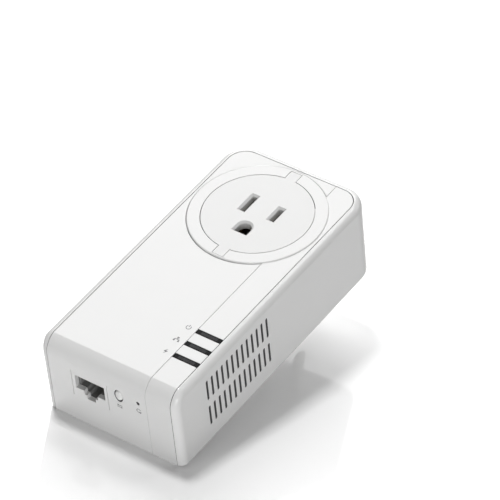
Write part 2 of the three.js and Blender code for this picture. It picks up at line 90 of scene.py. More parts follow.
OUTLET_Z = -3.2
OUTLET_FRONT = FRONT - 0.5
OUTLET_HOLE = 27.0
RING_SIDES = 192
RING_OUTER = 26.8
RING_SKIRT = 27.5
RING_BORE = 21.85
RING_MOUTH = 21.72
DISC = 21.5
TAB_WIDE, TAB_REACH = 4.8, 25.8
NOTCH_WIDE, NOTCH_REACH = 5.2, 25.95
SLOT_HALF = 1.05
SLOT_HIGH_LEFT, SLOT_HIGH_RIGHT = 8.7, 6.9
GROUND_HOLE = 2.75

# Half the blades' spacing, the plug's distance from the centre line and its parts' sizes.
BLADE_X = 6.35
PLUG_X = 8.0
GROUND_Z = -11.9
BLADE_HALF = 3.175
BLADE_REACH = 17.6
BLADE_ROOT = -8.6
PIN = 2.4
PIN_REACH = 21.2
PLUG_FOOT = -9.8

BAR_HEIGHTS = {
    "power": BOTTOM + 32.6,
    "ethernet": BOTTOM + 25.6,
    "powerline": BOTTOM + 18.5,
}
BAR_HIGH = 2.25
BAR_THICK = 1.1
BAR_TAIL = (20.5, 24.5)
BAR_TAIL_HIGH = 1.5

JACK_X = -9.25
JACK_FRONT = -23.7
# Half widths of the jack opening, and how far back each step reaches.
JACK_STEPS = ((5.95, -17.9), (3.05, -16.1), (1.9, -14.2))
GROOVE_OFFSET = 8.15
SYNC = (4.2, -23.6)
SYNC_HALF = (1.75, 2.4)
RESET = (13.0, -24.4)
RESET_HOLE = 0.75

PRINT = 0.02


# ---- mesh helpers ----


def arc(cu, cv, radius, start, end, steps):
    """Points on a circle between two angles in degrees."""
    points = []
    for i in range(steps + 1):
        angle = math.radians(start + (end - start) * i / steps)
        points.append((cu + radius * math.cos(angle), cv + radius * math.sin(angle)))
    return points


def span(centre, size):
    return (centre - size / 2, centre + size / 2)


def rounded_rectangle(half, low, high, low_round, high_round, low_steps=6, high_steps=24):
    """Counterclockwise from the lower left."""
    return (
        arc(low_round - half, low + low_round, low_round, 180, 270, low_steps)
        + arc(half - low_round, low + low_round, low_round, 270, 360, low_steps)
        + arc(half - high_round, high - high_round, high_round, 0, 90, high_steps)
        + arc(high_round - half, high - high_round, high_round, 90, 180, high_steps)
    )


def rounding(radius, distance):
    """How far a rounded edge stands in, at a distance along from its start."""
    if distance >= radius:
        return 0.0
    return radius - math.sqrt(radius**2 - (radius - distance) ** 2)


def nose_reach():
    """How far behind the front plane the rounded lower end starts to be flat."""
    return math.sqrt(NOSE**2 - (NOSE - NOSE_START) ** 2)


def nose_rise(depth):
    """Height of the rounded lower end above the flat of it, at a depth behind the front plane."""
    reach = nose_reach()
    if depth >= reach:
        return 0.0
    return NOSE - math.sqrt(NOSE**2 - (reach - depth) ** 2)


def from_faces(points, faces):
    """A closed object with clean corners and outward normals."""
    mesh = bpy.data.meshes.new("part")
    mesh.from_pydata(points, [], faces)
    bm = bmesh.new()
    bm.from_mesh(mesh)
    bmesh.ops.remove_doubles(bm, verts=bm.verts, dist=1e-5)
    bmesh.ops.dissolve_degenerate(bm, dist=1e-6, edges=bm.edges)
    bmesh.ops.recalc_face_normals(bm, faces=bm.faces)
    bm.to_mesh(mesh)
    bm.free()
    return bpy.data.objects.new("part", mesh)


def loft(rings):
    """One closed skin through rings of 3-D points, with a flat face over each end."""
    count = len(rings[0])
    points = [p for ring in rings for p in ring]
    faces = []
    for r in range(len(rings) - 1):
        for i in range(count):
            j = (i + 1) % count
            a, b = r * count + i, r * count + j
            faces.append((a, b, b + count, a + count))
    last = (len(rings) - 1) * count
    faces.append(tuple(range(count))[::-1])
    faces.append(tuple(range(last, last + count)))
    return from_faces(points, faces)


def place(axis, u, v, w):
    """A point from two coordinates across an axis, in X, Y, Z order, and its height along it."""
    return {"x": (w, u, v), "y": (u, w, v), "z": (u, v, w)}[axis]


def prism(axis, outline, ends):
    return loft([[place(axis, u, v, w) for u, v in outline] for w in ends])


def stack(axis, layers):
    """A loft along an axis through (height, outline) layers."""
    return loft([[place(axis, u, v, w) for u, v in outline] for w, outline in layers])


def box(x, y, z):
    return prism("z", [(x[0], y[0]), (x[1], y[0]), (x[1], y[1]), (x[0], y[1])], z)


def circle(cu, cv, radius, sides=64):
    return arc(cu, cv, radius, 0, 360, sides)[:-1]


def rectangle(x, half, high):
    """An outline about (x, 0), from half its width and half its height."""
    return [(x - half, -high), (x + half, -high), (x + half, high), (x - half, high)]


def rod(axis, at, radius, ends, sides=48):
    return prism(axis, circle(at[0], at[1], radius, sides), ends)


def turned(axis, at, profile, sides=96):
    """A closed piece turned about an axis, from a profile of (radius, height) points."""
    layers = []
    for radius, height in profile:
        layers.append((height, circle(at[0], at[1], max(radius, 1e-4), sides)))
    return stack(axis, layers)


def ring_turned(at, profile, sides=192):
    """A ring about Y from a closed profile of (radius, height) points."""
    count = len(profile)
    points, faces = [], []
    for s in range(sides):
        angle = 2 * math.pi * s / sides
        c, d = math.cos(angle), math.sin(angle)
        points += [(at[0] + r * c, h, at[1] + r * d) for r, h in profile]
    for s in range(sides):
        t = (s + 1) % sides
        for i in range(count):
            j = (i + 1) % count
            faces.append((s * count + i, s * count + j, t * count + j, t * count + i))
    return from_faces(points, faces)


def grown(outline, by):
    """A counterclockwise outline moved outwards, corner by corner."""
    count = len(outline)
    moved = []
    for i in range(count):
        before, here, after = outline[i - 1], outline[i], outline[(i + 1) % count]
        a = Vector((here[0] - before[0], here[1] - before[1])).normalized()
        b = Vector((after[0] - here[0], after[1] - here[1])).normalized()
        na, nb = Vector((a.y, -a.x)), Vector((b.y, -b.x))
        middle = (na + nb).normalized()
        reach = by / max(middle.dot(na), 0.3)
        moved.append((here[0] + middle.x * reach, here[1] + middle.y * reach))
    return moved


def flared(axis, outline, ends, radius=0.25, steps=5, past=0.4):
    """A cutter along an axis whose outline opens out in a rounded edge at its first end."""
    start, stop = ends
    inward = 1 if stop > start else -1
    layers = [(start - inward * past, grown(outline, radius))]
    for i in range(steps + 1):
        angle = math.pi / 2 * i / steps
        depth = radius * (1 - math.cos(angle))
        layers.append((start + inward * depth, grown(outline, radius * (1 - math.sin(angle)))))
    layers.append((stop, outline))
    return stack(axis, layers)


def boolean(target, cutters, operation="DIFFERENCE"):
    """The target after a boolean with the cutters, which are used up."""
    scene = bpy.context.scene.collection
    group = bpy.data.collections.new("cutters")
    for o in cutters:
        group.objects.link(o)
    scene.children.link(group)
    scene.objects.link(target)
    modifier = target.modifiers.new("cut", "BOOLEAN")
    modifier.operation = operation
    modifier.solver = "EXACT"
    modifier.operand_type = "COLLECTION"
    modifier.collection = group
    bpy.context.view_layer.update()
    depsgraph = bpy.context.evaluated_depsgraph_get()
    mesh = bpy.data.meshes.new_from_object(target.evaluated_get(depsgraph))
    target.modifiers.clear()
    target.data = mesh
    scene.objects.unlink(target)
    for o in list(cutters):
        bpy.data.objects.remove(o)
    bpy.data.collections.remove(group)
    return target


def cut(target, *cutters):
    return boolean(target, cutters)


def join(target, *others):
    for other in others:
        target = boolean(target, [other], "UNION")
    return target


def meet(target, other):
    return boolean(target, [other], "INTERSECT")


def bevel(target, width, chosen, segments=3):
    """Rounds the edges that chosen(edge) picks."""
    bm = bmesh.new()
    bm.from_mesh(target.data)
    edges = [e for e in bm.edges if len(e.link_faces) == 2 and chosen(e)]
    bmesh.ops.bevel(
        bm,
        geom=edges,
        offset=width,
        offset_type="OFFSET",
        segments=segments,
        profile=0.5,
        affect="EDGES",
        clamp_overlap=True,
    )
    bm.to_mesh(target.data)
    bm.free()
    return target


def make(
    name, shape, material, body="root", replaces=(), sharp=35, shade_paint=None, gets_shade_paint=None
):
    """Gives a shape its name, finish and place on a body, shaded smooth between sharp edges.

    Faces that the given test picks get the second material instead, a dark grey that paints shade
    into slots, holes and seams.
    """
    shape.name = name
    mesh = shape.data
    mesh.name = name
    mesh.materials.clear()
    mesh.materials.append(material)
    if shade_paint:
        mesh.materials.append(shade_paint)
    for polygon in mesh.polygons:
        polygon.material_index = 1 if gets_shade_paint and gets_shade_paint(polygon) else 0
    mesh.transform(Matrix.Scale(MM, 4))
    bpy.context.scene.collection.objects.link(shape)
    mesh.shade_smooth()
    mesh.set_sharp_from_angle(angle=math.radians(sharp))
    weighted = shape.modifiers.new("weighted", "WEIGHTED_NORMAL")
    weighted.keep_sharp = True
    weighted.weight = 80
    bpy.context.view_layer.update()
    depsgraph = bpy.context.evaluated_depsgraph_get()
    shaded = bpy.data.meshes.new_from_object(shape.evaluated_get(depsgraph))
    shape.modifiers.clear()
    shape.data = shaded
    shaded.name = name
    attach(shape, body)
    if replaces:
        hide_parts(*replaces)
    return shape


# ---- materials ----

# How much larger the mottling is than the grain, and the grain's height in metres.
CLOUDS = 22
GRAIN_HEIGHT = 0.0002


def new_material(name):
    material = bpy.data.materials.new(name)
    material.use_nodes = True
    tree = material.node_tree
    return material, tree, tree.nodes["Principled BSDF"]


def moulded(
    name, color, roughness, mottle=0.03, grain=1800, bump=0.02, spread=0.06, **sockets
):
    """Plastic, paint or metal: slight mottling of the colour, uneven gloss and fine grain."""
    material, tree, shader = new_material(name)
    for socket, value in sockets.items():
        shader.inputs[socket.replace("_", " ")].default_value = value
    coordinates = tree.nodes.new("ShaderNodeTexCoord")
    cloud = tree.nodes.new("ShaderNodeTexNoise")
    cloud.inputs["Scale"].default_value = grain / CLOUDS
    cloud.inputs["Detail"].default_value = 4
    tree.links.new(coordinates.outputs["Object"], cloud.inputs["Vector"])
    tint = tree.nodes.new("ShaderNodeMapRange")
    tint.inputs["To Min"].default_value = 1 - mottle
    tint.inputs["To Max"].default_value = 1 + mottle
    tree.links.new(cloud.outputs["Fac"], tint.inputs["Value"])
    scale = tree.nodes.new("ShaderNodeVectorMath")
    scale.operation = "SCALE"
    scale.inputs[0].default_value = color
    tree.links.new(tint.outputs["Result"], scale.inputs["Scale"])
    tree.links.new(scale.outputs["Vector"], shader.inputs["Base Color"])
    grit = tree.nodes.new("ShaderNodeTexNoise")
    grit.inputs["Scale"].default_value = grain
    grit.inputs["Detail"].default_value = 3
    tree.links.new(coordinates.outputs["Object"], grit.inputs["Vector"])
    gloss = tree.nodes.new("ShaderNodeMapRange")
    gloss.inputs["To Min"].default_value = roughness - spread
    gloss.inputs["To Max"].default_value = roughness + spread
    tree.links.new(grit.outputs["Fac"], gloss.inputs["Value"])
    tree.links.new(gloss.outputs["Result"], shader.inputs["Roughness"])
    relief = tree.nodes.new("ShaderNodeBump")
    relief.inputs["Strength"].default_value = bump
    relief.inputs["Distance"].default_value = GRAIN_HEIGHT
    tree.links.new(grit.outputs["Fac"], relief.inputs["Height"])
    tree.links.new(relief.outputs["Normal"], shader.inputs["Normal"])
    return material


case_white = moulded("case_white", (0.75, 0.75, 0.745), 0.14, mottle=0.01, bump=0.01, spread=0.02)
disc_white = moulded("disc_white", (0.7, 0.7, 0.695), 0.2, mottle=0.01, bump=0.01, spread=0.03)
outlet_white = moulded(
    "outlet_white", (0.74, 0.74, 0.735), 0.2, mottle=0.01, bump=0.01, spread=0.03
)
button_white = moulded("button_white", (0.78, 0.78, 0.77), 0.2, mottle=0.01, bump=0.01)
smoke = moulded("smoke", (0.004, 0.004, 0.0045), 0.35, mottle=0.2, Specular_IOR_Level=0.06)
jack_grey = moulded("jack_grey", (0.2, 0.2, 0.198), 0.45, mottle=0.03, bump=0.05)
plated = moulded("plated", (0.68, 0.68, 0.66), 0.15, mottle=0.04, bump=0.04, Metallic=1.0)
brass = moulded("brass", (0.72, 0.52, 0.22), 0.3, mottle=0.06, bump=0.05, Metallic=1.0)
steel = moulded("steel", (0.5, 0.5, 0.5), 0.35, mottle=0.05, bump=0.05, Metallic=1.0)
# A dark grey painted as shade on the sides of the vent slots and down in the strip's seam.
painted_shade_grey = moulded("painted_shade_grey", (0.1, 0.1, 0.102), 0.6, mottle=0.1, bump=0.05)
lens_grey = moulded(
    "lens_grey", (0.036, 0.036, 0.038), 0.6, mottle=0.8, grain=9000, bump=0.05,
    Specular_IOR_Level=0.12,
)
# Dark grey ink for the printed marks, also painted as shade on the sides of the button's and
# reset's holes.
ink_and_painted_shade = moulded("ink_and_painted_shade", (0.16, 0.16, 0.165), 0.5, mottle=0.08, bump=0.02)

# The finish of each material slot in the record.
FINISHES = {
    "board": moulded("board", (0.02, 0.13, 0.05), 0.4, mottle=0.15, bump=0.1),
    "moulding": moulded("moulding", (0.035, 0.035, 0.038), 0.55, mottle=0.1, bump=0.1),
    "ferrite": moulded("ferrite", (0.05, 0.05, 0.055), 0.7, mottle=0.15, bump=0.2),
    "winding": moulded("winding", (0.65, 0.48, 0.06), 0.42, mottle=0.1, bump=0.1),
    "sleeve": moulded("sleeve", (0.02, 0.035, 0.055), 0.35, mottle=0.08, bump=0.05),
    "blue_coat": moulded("blue_coat", (0.025, 0.1, 0.36), 0.35, mottle=0.1, bump=0.1),
    "chip": moulded("chip", (0.012, 0.012, 0.013), 0.55, mottle=0.1, bump=0.1),
    "aluminium": moulded("aluminium", (0.55, 0.56, 0.57), 0.38, 0.05, bump=0.08, Metallic=1.0),
    "led": moulded("led", (0.75, 0.78, 0.62), 0.2, mottle=0.03, bump=0.02),
    "case_white": case_white,
    "outlet_white": outlet_white,
    "button_white": button_white,
    "smoke_bar": smoke,
    "jack_plastic": jack_grey,
    "plated_metal": plated,
    "brass": brass,
    "steel": steel,
}
for part in frame["record"]["subparts"]:
    node = frame["nodes"][part["node"]]
    node.data.materials.clear()
    node.data.materials.append(FINISHES[part["material_slot"]])

# ---- case ----


def case_ring(depth):
    """The case's outline at a depth behind the front plane, with its height along Y."""
    back = rounding(BACK_ROUND, -FRONT - depth)
    inset = rounding(LIP, depth) + back
    low = BOTTOM + nose_rise(depth) + back
    outline = rounded_rectangle(
        WIDTH / 2 - inset, low, TOP - inset, max(LIP - inset, SHARP), CORNER - inset, 8, 24
    )
    return (FRONT + depth, outline)


def whole_case():
    """The case as one solid, with rings close together where its edges curve."""
    depths = [LIP * (1 - math.cos(math.radians(a))) for a in range(0, 91, 6)]
    depths += [LIP + (nose_reach() - LIP) * i / 8 for i in range(1, 9)]
    back = [BACK_ROUND * math.sin(math.radians(a)) for a in range(90, -1, -15)]
    depths += [-FRONT - d for d in back]
    return stack("y", [case_ring(d) for d in depths])


def core_outline(grow):
    """The seam round the front, run out past the lower end."""
    return rounded_rectangle(
        SEAM_HALF + grow, BOTTOM - PAST, SEAM_TOP + grow, SHARP, SEAM_CORNER + grow, 2, 24
    )


def nose_outline(inset, past=PAST, steps=20):
    """The front and the lower end of the case from the side, as a closed (y, z) outline."""
    radius = NOSE - inset
    cy, cz = FRONT + nose_reach(), BOTTOM + NOSE
    start = 180 + math.degrees(math.acos((nose_reach() - inset) / radius))
    curve = arc(cy, cz, radius, start, 270, steps)
    return curve + [(past, BOTTOM + inset), (past, TOP + past), (FRONT + inset, TOP + past)]


def stadium(cu, cv, length, width, steps=8):
    """A slot with round ends, long in u."""
    half = (length - width) / 2
    return arc(cu + half, cv, width / 2, -90, 90, steps) + arc(
        cu - half, cv, width / 2, 90, 270, steps
    )


def vents(side):
    """Cutters for one side wall's slots, two rows of 13."""
    cutters = []
    wall = side * WIDTH / 2
    for i in range(VENT_COUNT):
        height = VENT_START + VENT_PITCH * i
        for low, high in VENT_ROWS:
            outline = stadium((low + high) / 2, height, high - low, VENT_WIDE)
            cutters.append(flared("x", outline, (wall, wall - side * 2 * WALL), VENT_ROUND, 3))
    return cutters


# The faces this picks get a dark grey painted as shade in the slots.
def in_vent(face):
    """Whether a face of the rear housing is a side of a vent slot, behind its rounded mouth."""
    c = face.center
    deep = WIDTH / 2 - WALL - 0.01 < abs(c.x) < WIDTH / 2 - 0.1
    along = VENT_ROWS[0][0] - 0.6 < c.y < VENT_ROWS[1][1] + 1.3
    return deep and along and BOTTOM + 16 < c.z < BOTTOM + 58 and abs(face.normal.x) < 0.4


def rear_housing():
    """The side, upper and back walls, with the vents, plug openings and screw bosses."""
    shape = whole_case()
    shape = cut(shape, prism("y", core_outline(SEAM_GAP / 2), (FRONT - 1, -WALL)))
    inner = rounded_rectangle(
        WIDTH / 2 - WALL, BOTTOM + LIP + CLEAR, TOP - WALL, SHARP, CORNER - WALL, 2, 16
    )
    shape = cut(shape, prism("y", inner, (FRONT + 5, -WALL)))
    floor_gap = SEAM_HALF + SEAM_GAP / 2
    floor = (BOTTOM - 1, BOTTOM + WALL + CLEAR)
    shape = cut(shape, box((-floor_gap, floor_gap), (-WALL - 1, 1), floor))
    shape = cut(shape, *vents(1), *vents(-1))
    through = (0, -WALL - 1)
    mouths = []
    for x in (PLUG_X - BLADE_X, PLUG_X + BLADE_X):
        outline = rectangle(x, SLOT_HALF, BLADE_HALF + CLEAR)
        mouths.append(flared("y", outline, through, CLEAR))
    mouths.append(flared("y", circle(PLUG_X, GROUND_Z, PIN + CLEAR), through, CLEAR))
    shape = cut(shape, *mouths)
    for side in (-1, 1):
        for height in SCREW_HEIGHTS:
            at = (side * SCREW_X, height)
            shape = join(shape, rod("y", at, BOSS, (-WALL - 2, -WALL + 0.5)))
            shape = cut(shape, rod("y", at, SCREW_SHANK, (-WALL - 3, 1)))
            shape = cut(shape, flared("y", circle(*at, SCREW_HEAD), (0, -WALL - 0.2)))
    return shape


def skin(x_low, x_high):
    """The front and lower end between two x, with its seam edges rounded."""
    shape = meet(
        prism("x", nose_outline(0), (x_low, x_high)),
        prism("y", core_outline(-SEAM_GAP / 2), (FRONT - 5, 0)),
    )

    def outer(face):
        n, c = face.normal, face.calc_center_median()
        return n.y < -0.05 and abs(n.x) < 0.01 or (n.z < -0.9 and c.z < BOTTOM + 1)

    def seam(edge):
        a, b = edge.link_faces
        return outer(a) != outer(b)

    return bevel(shape, EDGE, seam)


def jack_outline(side, end):
    """The jack opening, with room beside its widest step and at its ends."""
    right = []
    start = JACK_FRONT - end
    for i, (half, reach) in enumerate(JACK_STEPS):
        wide = half + side if i == 0 else half
        right += [(wide, start), (wide, reach + end)]
        start = reach + end
    left = [(-x, y) for x, y in reversed(right)]
    return [(JACK_X + x, y) for x, y in right + left]


def sync_outline(inset_x, inset_y, sides=96):
    """The sync button's oval, set in by so much across and along."""
    half_x, half_y = SYNC_HALF[0] - inset_x, SYNC_HALF[1] - inset_y
    return [(SYNC[0] + half_x * u, SYNC[1] + half_y * v) for u, v in circle(0, 0, 1, sides)]


def inside():
    """The space behind the front wall and above the lower end wall."""
    curve = nose_outline(WALL)[:-3]
    back = [(5, BOTTOM + WALL), (5, TOP + 9), (FRONT + WALL, TOP + 9)]
    return prism("x", curve + back, (-WIDTH, WIDTH))


def front_cover():
    """The front and lower end, with the outlet, jack, button and reset openings."""
    shape = skin(-WIDTH, STRIP_SEAM - STRIP_GAP / 2)
    shape = cut(shape, inside())
    mouth = circle(0, OUTLET_Z, OUTLET_HOLE, RING_SIDES)
    shape = cut(shape, flared("y", mouth, (FRONT, FRONT + 5), 0.3))
    end = (BOTTOM, BOTTOM + 3)
    shape = cut(shape, flared("z", jack_outline(0.75, 0.3), end, 0.2))
    shape = cut(shape, flared("z", sync_outline(-0.22, -0.5), end, 0.15))
    shape = cut(shape, flared("z", circle(*RESET, RESET_HOLE, 48), end, 0.15))
    grooves = []
    for side in (-1, 1):
        across = span(JACK_X + side * GROOVE_OFFSET, 0.3)
        grooves.append(box(across, (-26.0, -13.3), (BOTTOM - 1, BOTTOM + 0.8)))
    return cut(shape, *grooves)


# The faces this picks get a dark grey painted as shade in the gaps round the button and the
# pinhole.
def in_hole(face):
    """Whether a face of the front cover is the side of the button's or the reset switch's hole."""
    c = face.center
    near = min(math.dist((c.x, c.y), SYNC) - 3.2, math.dist((c.x, c.y), RESET) - 1)
    return near < 0 and c.z > BOTTOM + 0.16 and abs(face.normal.z) < 0.4


def side_strip():
    """The strip down the right, with a pocket for each bar and a hole for its tail."""
    shape = skin(STRIP_SEAM + STRIP_GAP / 2, WIDTH)
    shape = cut(shape, inside())
    pockets, tails = [], []
    across = (STRIP_SEAM - 1, WIDTH)
    tail = (BAR_TAIL[0] - CLEAR, BAR_TAIL[1] + CLEAR)
    for height in BAR_HEIGHTS.values():
        pocket = span(height, BAR_HIGH + 0.15)
        pockets.append(box(across, (FRONT - 1, FRONT + BAR_THICK + CLEAR), pocket))
        tails.append(box(tail, (FRONT + 1, FRONT + 3), span(height, BAR_TAIL_HIGH + 0.5)))
    shape = cut(shape, *pockets)
    return cut(shape, *tails)


# The faces this picks get a dark grey painted as shade in the seam.
def in_seam(face):
    """Whether a face of the strip is its outer side, down in the seam."""
    n = face.normal
    return face.center.x > STRIP_SEAM + 1 and n.x > 0.3 and abs(n.y) < 0.1 and n.z > -0.2


def light_bar(height):
    """A smoked bar with rounded front edges and a tail that reaches towards its light."""
    across = (STRIP_SEAM + 0.1, SEAM_HALF + 0.02)
    shape = box(across, (FRONT - 0.02, FRONT + BAR_THICK), span(height, BAR_HIGH))

    def rim(edge):
        return all(v.co.y < FRONT + 0.01 for v in edge.verts)

    shape = bevel(shape, 0.18, rim)
    tail = box(BAR_TAIL, (FRONT + BAR_THICK - 0.1, FRONT + 5.1), span(height, BAR_TAIL_HIGH))
    return join(shape, tail)


def lens(height):
    """The paler middle of a bar, where its light comes through."""
    across = (STRIP_SEAM + 2.2, SEAM_HALF - 1.9)
    return box(across, (FRONT - 0.03, FRONT + 0.02), span(height, 1.3))


# The vent slots' sides are painted dark grey as shade.
make(
    "case_rear", rear_housing(), case_white, replaces=["rear_housing"],
    shade_paint=painted_shade_grey, gets_shade_paint=in_vent,
)
# The sides of the button's and the reset switch's holes are painted dark grey as shade.
make(
    "case_front", front_cover(), case_white, replaces=["front_cover"],
    shade_paint=ink_and_painted_shade, gets_shade_paint=in_hole,
)
# The strip's side down in the seam is painted dark grey as shade.
make(
    "case_strip", side_strip(), case_white, replaces=["side_strip"],
    shade_paint=painted_shade_grey, gets_shade_paint=in_seam,
)
for bar, height in BAR_HEIGHTS.items():
    node = f"light_bar_{bar}"
    make(f"bar_{bar}", light_bar(height), smoke, replaces=[node])
    make(f"lens_{bar}", lens(height), lens_grey)

# ---- outlet ----


def outlet_ring():
    """The raised ring, with a rounded outer edge and a notch for each tab."""
    out, low = OUTLET_FRONT, -31.5
    skirt = FRONT + 2.3
    profile = [(RING_BORE, low), (RING_SKIRT, low), (RING_SKIRT, skirt), (RING_OUTER, skirt)]
    edge, small = 0.5, 0.12
    for i in range(6):
        angle = math.radians(18 * i)
        profile.append(
            (RING_OUTER - edge + edge * math.cos(angle), out + edge - edge * math.sin(angle))
        )
    for i in range(4):
        angle = math.radians(90 + 30 * i)
        profile.append(
            (RING_MOUTH + small + small * math.cos(angle), out + small - small * math.sin(angle))
        )
    shape = ring_turned((0, OUTLET_Z), profile)
    notch = box(span(0, NOTCH_WIDE), (out - 1, FRONT + 1.8), span(OUTLET_Z, 2 * NOTCH_REACH))
    return cut(shape, notch)


def slot_cutter(outline, ends):
    """A straight hole with a bevelled mouth 0.8 mm wide."""
    start, stop = ends
    layers = [(start - 0.4, grown(outline, 1.2)), (start + 0.8, outline), (stop, outline)]
    return stack("y", layers)


def outlet_disc():
    """The outlet's insert, with two tabs, two slots and a D-shaped ground hole."""
    out, edge = OUTLET_FRONT, 0.15
    profile = [(0, -32.4), (DISC, -32.4), (DISC, out + edge)]
    for angle in (math.radians(30), math.radians(60), math.radians(90)):
        turn = edge * (1 - math.cos(angle))
        profile.append((DISC - turn, out + edge * (1 - math.sin(angle))))
    profile.append((0, out))
    shape = turned("y", (0, OUTLET_Z), profile, RING_SIDES)
    tab = box(span(0, TAB_WIDE), (out, FRONT + 1.5), span(OUTLET_Z, 2 * TAB_REACH))
    tab = bevel(tab, 0.12, lambda e: all(v.co.y < out + 0.01 for v in e.verts))
    shape = join(shape, tab)
    mouth = (out, -31)
    cutters = []
    for x, high in ((-BLADE_X, SLOT_HIGH_LEFT), (BLADE_X, SLOT_HIGH_RIGHT)):
        cutters.append(slot_cutter(rectangle(x, SLOT_HALF, high / 2), mouth))
    radius, centre = GROUND_HOLE, GROUND_Z + 0.15
    flat = [(-radius, centre - radius), (radius, centre - radius)]
    cutters.append(slot_cutter(flat + arc(0, centre, radius, 0, 180, 32), mouth))
    return cut(shape, *cutters)


ring, disc = outlet_ring(), outlet_disc()
make("outlet_ring", ring, outlet_white, replaces=["outlet_bezel"])
make("outlet_disc", disc, disc_white, replaces=["outlet_face"])

# ---- plug ----


def blade_shape(x):
    """A blade at x with a chamfered tip, a hole through it and a foot inside the case."""
    half, tip, bevelled = BLADE_HALF, BLADE_REACH - 2, 1.3
    outline = [
        (BLADE_ROOT, -half), (tip, -half), (BLADE_REACH, -half + bevelled),
        (BLADE_REACH, half - bevelled), (tip, half), (BLADE_ROOT, half),
    ]
    thinner = grown(outline, -0.25)
    layers = [(x - 0.75, thinner), (x - 0.5, outline), (x + 0.5, outline), (x + 0.75, thinner)]
    foot = box(span(x, 3.2), (PLUG_FOOT, BLADE_ROOT + 0.1), span(0, 8.4))
    shape = join(stack("x", layers), foot)
    return cut(shape, rod("x", (11.8, 0), 2, span(x, 4)))


def pin_shape():
    """The round ground pin, with a domed tip and a foot inside the case."""
    profile = [(0, PLUG_FOOT), (3.4, PLUG_FOOT), (3.4, BLADE_ROOT), (PIN, BLADE_ROOT)]
    for degrees in range(0, 90, 6):
        angle = math.radians(degrees)
        profile.append((PIN * math.cos(angle), PIN_REACH - PIN + PIN * math.sin(angle)))
    profile.append((0, PIN_REACH))
    return turned("y", (PLUG_X, GROUND_Z), profile, 64)


for name, side, node in (("line", 1, "line_blade"), ("neutral", -1, "neutral_blade")):
    blade = blade_shape(PLUG_X + side * BLADE_X)
    make(f"blade_{name}", blade, plated, replaces=[node])
make("pin_ground", pin_shape(), plated, replaces=["ground_pin"])

# ---- sync button ----


def button_shape():
    """A domed oval cap on a round flange and stem."""
    inner, stem = BOTTOM + WALL + CLEAR, -93.6
    dome = (
        (1.62, -0.3), (1.2, -0.27), (0.8, -0.19), (0.5, -0.06),
        (0.25, 0.12), (0.08, 0.34), (0, 0.6),
    )
    layers = [(BOTTOM + h, sync_outline(inset, inset)) for inset, h in dome]
    layers.append((inner + 0.1, sync_outline(0, 0)))
    wide, narrow = 3.4, 1.4
    flange = [(0, inner), (wide, inner), (wide, inner + 0.8), (narrow, inner + 0.8)]
    flange += [(narrow, stem), (0, stem)]
    return join(stack("z", layers), turned("z", SYNC, flange, 96))


make(
    "button_sync", button_shape(), button_white,
    body="sync_button_body", replaces=["sync_button"],
)

# ---- printed marks ----


def stroke(start, end, width):
    """A straight line of ink from one point to another, as an outline."""
    a, b = Vector(start), Vector(end)
    side = (b - a).normalized().orthogonal() * width / 2
    return [tuple(a - side), tuple(b - side), tuple(b + side), tuple(a + side)]


def sweep(centre, radius, start, end, width):
    """A curved line of ink."""
    outer = arc(*centre, radius + width / 2, start, end, 24)
    return outer + arc(*centre, radius - width / 2, end, start, 24)


def mark(name, axis, level, outlines):
    """Ink shapes printed on a face at the given level."""
    prints = [prism(axis, outline, (level - PRINT, level + 0.05)) for outline in outlines]
    make(name, join(*prints), ink_and_painted_shade)


def front_marks():
    """A power mark, linked squares and a bolt beside the three bars."""
    x, line = 13.2, 0.28
    z = BAR_HEIGHTS["power"]
    mark("mark_power", "y", FRONT, [
        sweep((x, z), 0.95, 130, 410, line), stroke((x, z + 0.2), (x, z + 1.3), line),
    ])
    z = BAR_HEIGHTS["ethernet"]
    mark("mark_network", "y", FRONT, [
        stroke((x - 0.45, z + 0.75), (x + 0.45, z + 0.75), 0.7),
        stroke((x - 1.3, z - 0.85), (x - 0.6, z - 0.85), 0.7),
        stroke((x + 0.6, z - 0.85), (x + 1.3, z - 0.85), 0.7),
        stroke((x, z + 0.5), (x, z - 0.1), line),
        stroke((x - 1.09, z - 0.1), (x + 1.09, z - 0.1), line),
        stroke((x - 0.95, z - 0.05), (x - 0.95, z - 0.6), line),
        stroke((x + 0.95, z - 0.05), (x + 0.95, z - 0.6), line),
    ])
    z = BAR_HEIGHTS["powerline"]
    mark("mark_mains", "y", FRONT, [
        [(x + 0.35, z + 1.3), (x - 0.85, z - 0.2), (x - 0.05, z - 0.2), (x - 0.35, z - 1.3),
         (x + 0.85, z + 0.2), (x + 0.05, z + 0.2)],
    ])


def end_marks():
    """Two arrows by the sync button and a turning arrow by the reset pinhole."""
    x, y, line = 4.2, -18.4, 0.26
    mark("mark_sync", "z", BOTTOM, [
        stroke((x - 1.2, y + 0.4), (x + 0.6, y + 0.4), line),
        [(x + 0.5, y + 0.85), (x + 1.3, y + 0.4), (x + 0.5, y - 0.05)],
        stroke((x - 0.6, y - 0.5), (x + 1.2, y - 0.5), line),
        [(x - 0.5, y - 0.95), (x - 1.3, y - 0.5), (x - 0.5, y - 0.05)],
    ])
    x, y = 13.0, -20.7
    mark("mark_reset", "z", BOTTOM, [
        sweep((x, y), 0.85, 60, 340, line),
        [(x + 0.2, y + 0.3), (x + 1.3, y + 0.45), (x + 0.65, y + 1.3)],
    ])


front_marks()
end_marks()

# ---- stage, lights and camera ----

# The adapter lies tilted on its lower back edge and the ground pin's tip.
TILT = math.radians(14.0)
FLOOR_HALF = 4.0
# The floor is overexposed to the camera but bounces less light, as under a separate light.
FLOOR_SEEN = 1.08
FLOOR_BOUNCE = 0.8
up = Vector((0, -math.cos(TILT), math.sin(TILT)))
along = Vector((1, 0, 0))
across = up.cross(along)
rest = Vector((0, 0, BOTTOM * MM))


